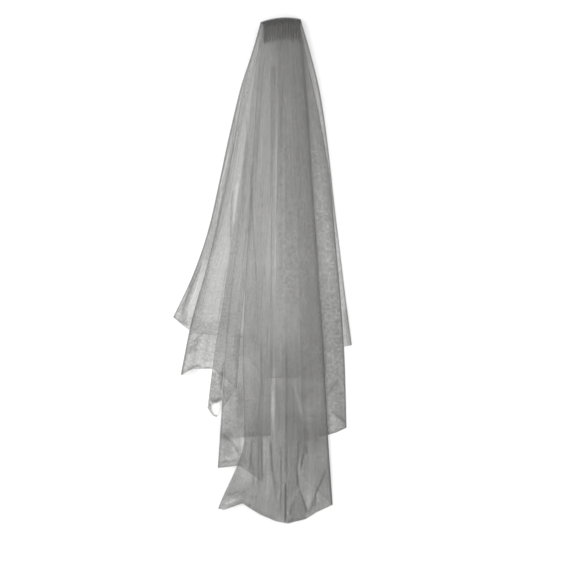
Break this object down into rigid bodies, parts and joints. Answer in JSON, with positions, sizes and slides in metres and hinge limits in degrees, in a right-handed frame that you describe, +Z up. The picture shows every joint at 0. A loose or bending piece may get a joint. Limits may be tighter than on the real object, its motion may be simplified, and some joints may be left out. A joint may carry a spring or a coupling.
{
  "type": "bridal veil",
  "caption": "Two-tier bridal veil of plain soft tulle, gathered on a hair comb and laid flat with its side folds cascading to a pointed hem.",
  "frame": {"origin": "middle of the box, on the surface that the veil lies on", "axes": "+Z up from that surface, +Y towards the comb along the veil's length, +X towards the picture's right"},
  "size_m": [0.3346, 0.9449, 0.0266],
  "materials": {
    "tulle": "soft matte net, see-through in one layer",
    "binding": "narrow matte ribbon",
    "comb": "moulded, satin"
  },
  "bodies": {
    "root": {"long_tier": "tulle", "short_tier": "tulle", "gather_binding": "binding", "comb": "comb"}
  },
  "joints": []
}
